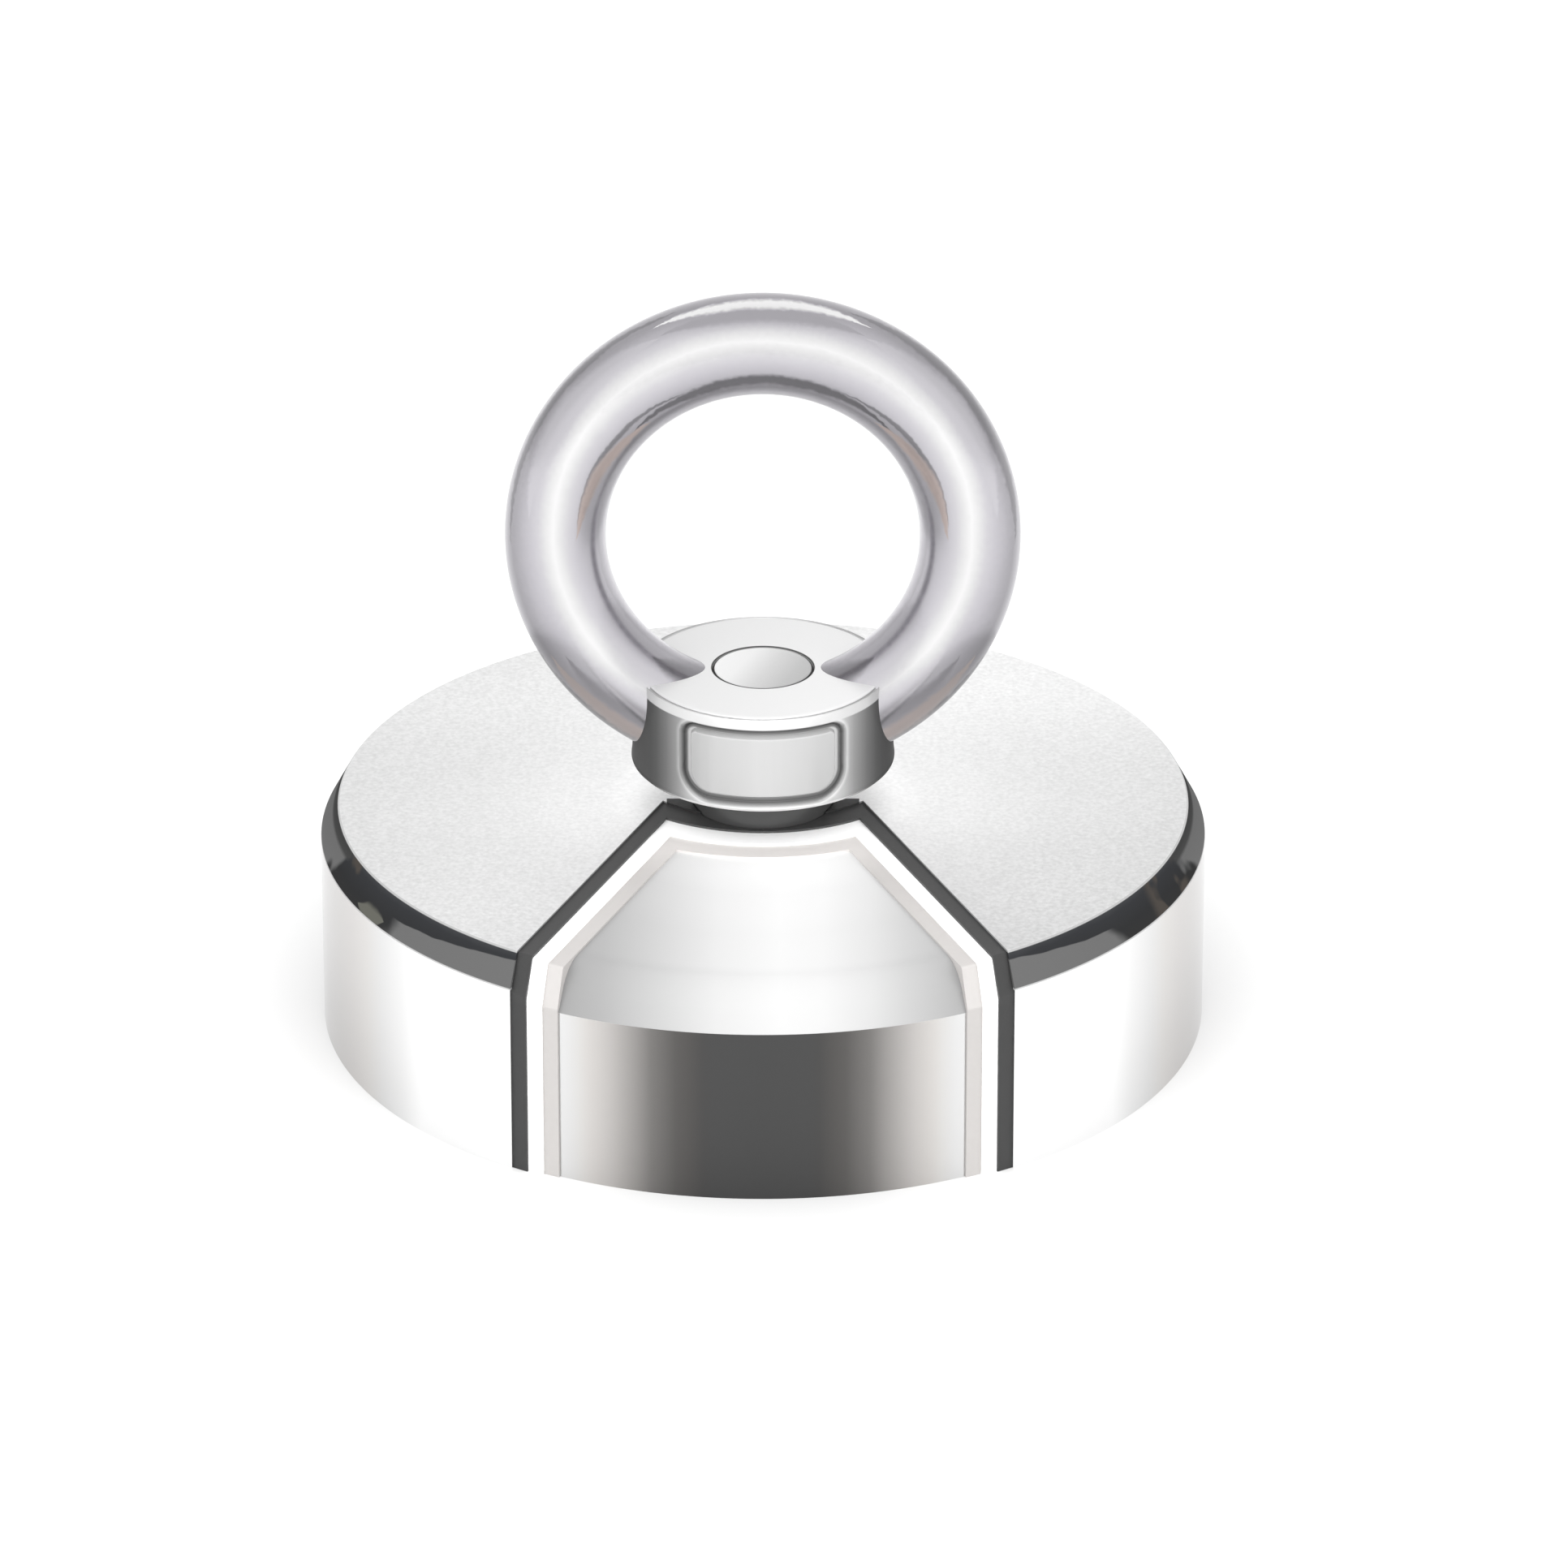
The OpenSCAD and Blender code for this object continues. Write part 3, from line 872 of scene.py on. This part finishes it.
def bar_metal():
    """The eye's bar, with painted reflections: the bands that polished steel shows in a white studio.

    The bands follow the place across the bar. Over them lie lenses of painted reflection, each in one
    tone.
    """
    finish = Finish("bar_metal", 1, 0.2)
    grain = finish.noise(0.4, 3)
    rise = finish.math("SUBTRACT", finish.z, EYE_Z)
    out = finish.math("SQRT", finish.sum((finish.x, finish.x), (rise, rise)))
    # Angle from the eye's top, the same on both sides
    turn = finish.math("ABSOLUTE", finish.math("ARCTAN2", finish.x, rise))
    # The bands waver, and their edges are frayed
    place = finish.sum(place_across(finish, rise, out), (finish.waver(3.5), 0.08),
                       (finish.math("SUBTRACT", grain, 0.5), 0.07))
    # Painted reflection: a bright ridge along the middle, darker to both sides and lighter again at the
    # very edges
    tone = finish.bands(place, [(-1, 0.62), (-0.85, 0.44), (-0.55, 0.55), (-0.3, 0.67), (0, 0.92),
                                (0.3, 0.66), (0.6, 0.52), (0.84, 0.38), (1, 0.5)])
    # Towards the collar the painted highlight along the ridge is duller
    dull = finish.math("MULTIPLY", finish.spread(turn, 2.05, 2.45),
                       finish.spread(finish.math("ABSOLUTE", place), 0.45, 0.1))
    tone = finish.math("MULTIPLY", tone, finish.sum(1, (dull, -0.16)))

    def paint_reflection_lens(base, level, middle, half, at, thick, soft, slope=0):
        """Lays a lens of painted reflection, in one tone, over the bands.

        It spans middle - half to middle + half in angle, at a place that moves by slope per radian.
        """
        centre = finish.sum((turn, slope), at - slope * middle)
        return finish.blend(finish.lens(turn, place, middle, half, centre, thick, soft), base, level)

    # Painted reflections on the outer flank: a light stretch, and a dark line that is thicker on the right
    right = finish.spread(finish.x, -2, 2)
    tone = paint_reflection_lens(tone, 0.62, 0.92, 0.5, 0.5, 0.2, 0.6)
    tone = paint_reflection_lens(tone, 0.27, 0.95, 0.62, 0.87, finish.spread(right, 0, 1, 0.06, 0.1), 0.5)
    # Painted reflections at the crown: a grey stretch under a white one, and a dark line inside the eye
    tone = paint_reflection_lens(tone, 0.47, 0, 0.42, 0.53, 0.15, 0.6)
    tone = paint_reflection_lens(tone, 1.0, 0, 0.44, 0.745, 0.09, 0.6)
    tone = paint_reflection_lens(tone, 0.2, 0, 0.8, -0.74, 0.09, 0.5)
    # Painted reflections inside the eye: a thin slanting line, then a soft one down to the collar
    tone = paint_reflection_lens(tone, 0.27, 0.92, 0.5, -0.56, 0.045, 0.5, slope=0.21)
    tone = paint_reflection_lens(tone, 0.52, 1.4, 0.7, -0.8, 0.05, 0.7)
    tone = paint_reflection_lens(tone, 0.5, 2.35, 0.7, -0.8, 0.05, 0.8)
    # Painted reflections at the collar: dark inside, a grey band and a dark edge outside
    tone = paint_reflection_lens(tone, 0.3, 2.9, 0.5, -0.62, 0.3, 0.7)
    tone = paint_reflection_lens(tone, 0.38, 2.5, 0.42, 0.58, 0.14, 0.8)
    tone = paint_reflection_lens(tone, 0.24, 2.5, 0.46, 0.98, 0.06, 0.5)
    # The darker the painted reflection, the more violet
    violet = finish.blend(finish.spread(tone, 0.55, 0.85), (1, 0.975, 1.04), (1, 0.995, 1.0))
    metal = finish.tinted(tone, violet)
    # Painted warm reflections inside the eye and low outside
    metal = paint_reflection_lens(metal, (0.56, 0.475, 0.45), 1.08, 0.42, -0.64, 0.1, 0.5, slope=0.42)
    metal = paint_reflection_lens(metal, (0.52, 0.46, 0.445), 2.5, 0.44, 0.82, 0.12, 0.5)
    finish.shade(base_color=finish.tinted(metal, BAR_LEVEL),
                 roughness=finish.spread(grain, 0, 1, 0.16, 0.28, smooth=False))
    finish.bump_from(grain, 0.003)
    return finish.material


def frame_distance(finish, aside):
    """Distance outwards from the line along the middle of the panel's groove.

    It is the signed distance to a box with rounded corners, worked out as for the mesh.
    """
    above = finish.math("SUBTRACT", finish.z, COLLAR_Z + PANEL_LIFT + PANEL_H / 2)
    corner_r = finish.spread(above, -0.01, 0.01, PANEL_FOOT_R - GROOVE_W / 2, PANEL_TOP_R - GROOVE_W / 2)
    past_x = finish.sum(aside, GROOVE_W / 2 - PANEL_W / 2, corner_r)
    past_z = finish.sum(finish.math("ABSOLUTE", above), GROOVE_W / 2 - PANEL_H / 2, corner_r)
    over_x = finish.math("MAXIMUM", past_x, 0)
    over_z = finish.math("MAXIMUM", past_z, 0)
    inside = finish.math("MINIMUM", finish.math("MAXIMUM", past_x, past_z), 0)
    outside = finish.math("SQRT", finish.sum((over_x, over_x), (over_z, over_z)))
    return finish.sum(outside, inside, (corner_r, -1))


def collar_metal():
    """The collar, in painted light: side dark to left and right, highlights round panel and on bevels,
    near-white top.
    """
    finish = Finish("collar_metal", 0.5, 0.3)
    grain = finish.noise(0.3, 3)
    painted_reflection_streaks = finish.waver(1.3, 2, (1, 1, 0.06))
    aside = finish.math("ABSOLUTE", finish.x)
    # Painted reflection on the side: light in the middle, dark to left and right
    side = finish.bands(finish.math("ABSOLUTE", finish.sum(finish.x, -0.25)),
                        [(0, 0.92), (4.6, 0.74), (5.2, 0.6), (5.9, 0.375), (6.75, 0.22), (7.4, 0.145),
                         (7.8, 0.13), (8.2, 0.14), (8.9, 0.17)], COLLAR_LEVEL)
    # Painted reflection on the panel, with soft upright streaks
    panel = finish.bands(finish.sum(finish.x, (painted_reflection_streaks, 3)),
                         [(-5.2, 0.54), (-3, 0.66), (0, 0.71), (3, 0.67), (5.2, 0.6)], COLLAR_LEVEL)
    # The panel and its frame are only in front
    away = frame_distance(finish, aside)
    facing = finish.spread(finish.y, 0, -1)
    side = finish.blend(finish.math("MULTIPLY", facing, finish.spread(away, 0, -0.1)), side, panel)
    # Painted shade in the panel's groove, with painted highlights on its edges
    frame_painted_shade_and_highlight = finish.bands(away, [(-0.4, 1.0), (-0.3, 1.2), (-0.2, 1.1), (-0.08, 0.35), (0.08, 0.16),
                                     (0.2, 0.3), (0.42, 0.9), (0.5, 1.35), (0.7, 1.0)])
    side = finish.blend(facing, side, finish.tinted(side, frame_painted_shade_and_highlight))
    # Painted highlights on the bevels at foot and top, and a painted dark line of shade round the screw
    foot = finish.spread(finish.z, COLLAR_Z + FOOT_BEVEL + 0.05, COLLAR_Z + FOOT_BEVEL - 0.05)
    side = finish.blend(finish.math("MULTIPLY", foot, finish.spread(aside, 8, 5)), side, 0.85)
    bevel = finish.bands(aside, [(0, 1.2), (3.5, 0.92), (6, 0.78), (8.6, 0.67)], COLLAR_LEVEL)
    on_bevel = finish.spread(finish.z, COLLAR_TOP_Z - COLLAR_BEVEL_H - 0.04,
                             COLLAR_TOP_Z - COLLAR_BEVEL_H + 0.06)
    on_top = finish.spread(finish.z, COLLAR_TOP_Z - 0.12, COLLAR_TOP_Z - 0.02)
    # Painted light on the top, lighter to the right
    top = finish.bands(finish.x, [(-8.5, 0.865), (0, 0.93), (8.5, 1.0)], TOP_LEVEL)
    top = finish.blend(finish.spread(finish.radius(), ROOT_R + 0.18, ROOT_R + 0.12), top, 0.07)
    metal = finish.blend(on_top, finish.blend(on_bevel, side, bevel), top)
    # The seat stands in the shade of the collar, on the dark coat
    seat = finish.spread(finish.z, COLLAR_Z + 0.02, COLLAR_Z - 0.02)
    finish.shade(base_color=finish.blend(seat, metal, 0.09), specular_tint=colour(0.3),
                 roughness=finish.spread(grain, 0, 1, 0.26, 0.34, smooth=False))
    finish.shader.inputs["Specular IOR Level"].default_value = 0
    finish.bump_from(grain, 0.001)
    return finish.material


# Pieces

def make_pieces():
    """All nine pieces, each in the place of its node."""
    coats = (("outer_coat", "bright_coat", bright_coat), ("dark_coat", "dark_coat", dark_coat),
             ("white_coat", "white_coat", white_coat), ("base_coat", "warm_coat", warm_coat))
    for under, (node, slot, make_finish) in enumerate(coats):
        make_piece(node + "_skin", [coat_shell(under)], node, [make_finish()])
    make_piece("pot_body", [pot_shell()], "steel_pot", [bare_steel()])
    make_piece("magnet_ring", [magnet_shell()], "ring_magnet", [magnet_metal()])
    make_piece("resin_seal", [resin_shell()], "resin_ring", [cast_resin()])
    make_piece("threaded_screw", [screw_shell()], "countersunk_screw", [screw_metal()])
    make_piece("forged_eye_nut", [collar_shell(), eye_shell()], "eye_nut",
               [collar_metal(), bar_metal()])


# Stage, light and camera

def make_floor():
    """A plain pale floor."""
    mesh = bpy.data.meshes.new("floor")
    corners = [(-FLOOR_HALF, -FLOOR_HALF, 0), (FLOOR_HALF, -FLOOR_HALF, 0),
               (FLOOR_HALF, FLOOR_HALF, 0), (-FLOOR_HALF, FLOOR_HALF, 0)]
    mesh.from_pydata(corners, [], [(0, 1, 2, 3)])
    floor = bpy.data.objects.new("floor", mesh)
    bpy.context.scene.collection.objects.link(floor)
    finish = Finish("pale_floor", 0, 0.8)
    finish.shader.inputs["Base Color"].default_value = colour(FLOOR_TONE)
    finish.shader.inputs["Specular IOR Level"].default_value = 0
    mesh.materials.append(finish.material)


def make_world():
    """A white surround, brighter from the front, and a nearly even one for what is polished."""
    world = bpy.data.worlds.new("studio")
    bpy.context.scene.world = world
    world.use_nodes = True
    tree = world.node_tree
    tree.nodes.clear()

    def math_node(operation, *values):
        node = tree.nodes.new("ShaderNodeMath")
        node.operation = operation
        for value, socket in zip(values, node.inputs):
            if isinstance(value, bpy.types.NodeSocket):
                tree.links.new(value, socket)
            else:
                socket.default_value = value
        return node.outputs[0]

    def within(value, low, high, edge):
        """1 between low and high, falling to 0 over the edge's width outside."""
        rise = tree.nodes.new("ShaderNodeMapRange")
        fall = tree.nodes.new("ShaderNodeMapRange")
        for node, start, end in ((rise, low - edge, low), (fall, high + edge, high)):
            node.interpolation_type = "SMOOTHSTEP"
            tree.links.new(value, node.inputs[0])
            node.inputs[1].default_value = start
            node.inputs[2].default_value = end
        return math_node("MULTIPLY", rise.outputs[0], fall.outputs[0])

    direction = tree.nodes.new("ShaderNodeTexCoord").outputs["Generated"]
    split = tree.nodes.new("ShaderNodeSeparateXYZ")
    tree.links.new(direction, split.inputs[0])
    up = math_node("DEGREES", math_node("ARCSINE", split.outputs["Z"]))
    side = math_node("ARCTAN2", split.outputs["X"], math_node("MULTIPLY", split.outputs["Y"], -1))
    side = math_node("DEGREES", math_node("ABSOLUTE", side))
    # Brightness of the surround as polished metal shows it. The angles are in degrees
    front = math_node("MULTIPLY", within(side, -1, 62, 22), within(up, -5, 50, 14))
    flank = math_node("MULTIPLY", within(side, 88, 128, 16), within(up, -5, 38, 12))
    overhead = within(up, 66, 91, 12)
    shaped = GLOSSY_LIGHT
    for part, more in ((front, GLOSSY_FRONT), (flank, GLOSSY_FLANK), (overhead, GLOSSY_OVERHEAD)):
        shaped = math_node("ADD", shaped, math_node("MULTIPLY", part, more))
    # The same for what is matt
    matt = math_node("ADD", MATT_LIGHT, math_node("MULTIPLY", front, MATT_FRONT))
    path = tree.nodes.new("ShaderNodeLightPath")
    glossy = path.outputs["Is Glossy Ray"]
    strength = math_node("ADD", math_node("MULTIPLY", glossy, shaped),
                         math_node("MULTIPLY", math_node("SUBTRACT", 1, glossy), matt))
    background = tree.nodes.new("ShaderNodeBackground")
    tree.links.new(strength, background.inputs["Strength"])
    background.inputs["Color"].default_value = (1, 1, 1, 1)
    output = tree.nodes.new("ShaderNodeOutputWorld")
    tree.links.new(background.outputs[0], output.inputs[0])


def make_camera():
    """A camera in front of the object and above it, level, with no depth of field."""
    lens = bpy.data.cameras.new("camera")
    lens.lens = CAMERA_LENS
    lens.sensor_width = CAMERA_SENSOR
    lens.sensor_fit = "HORIZONTAL"
    lens.clip_start = 0.01
    camera = bpy.data.objects.new("camera", lens)
    bpy.context.scene.collection.objects.link(camera)
    camera.location = (CAMERA_AIM[0], -CAMERA_DISTANCE * math.cos(CAMERA_ELEVATION),
                       CAMERA_AIM[2] + CAMERA_DISTANCE * math.sin(CAMERA_ELEVATION))
    camera.rotation_euler = (math.pi / 2 - CAMERA_ELEVATION, 0, 0)
    bpy.context.scene.camera = camera


make_camera()
make_floor()
make_world()
make_pieces()
bpy.context.scene.view_settings.view_transform = "Standard"
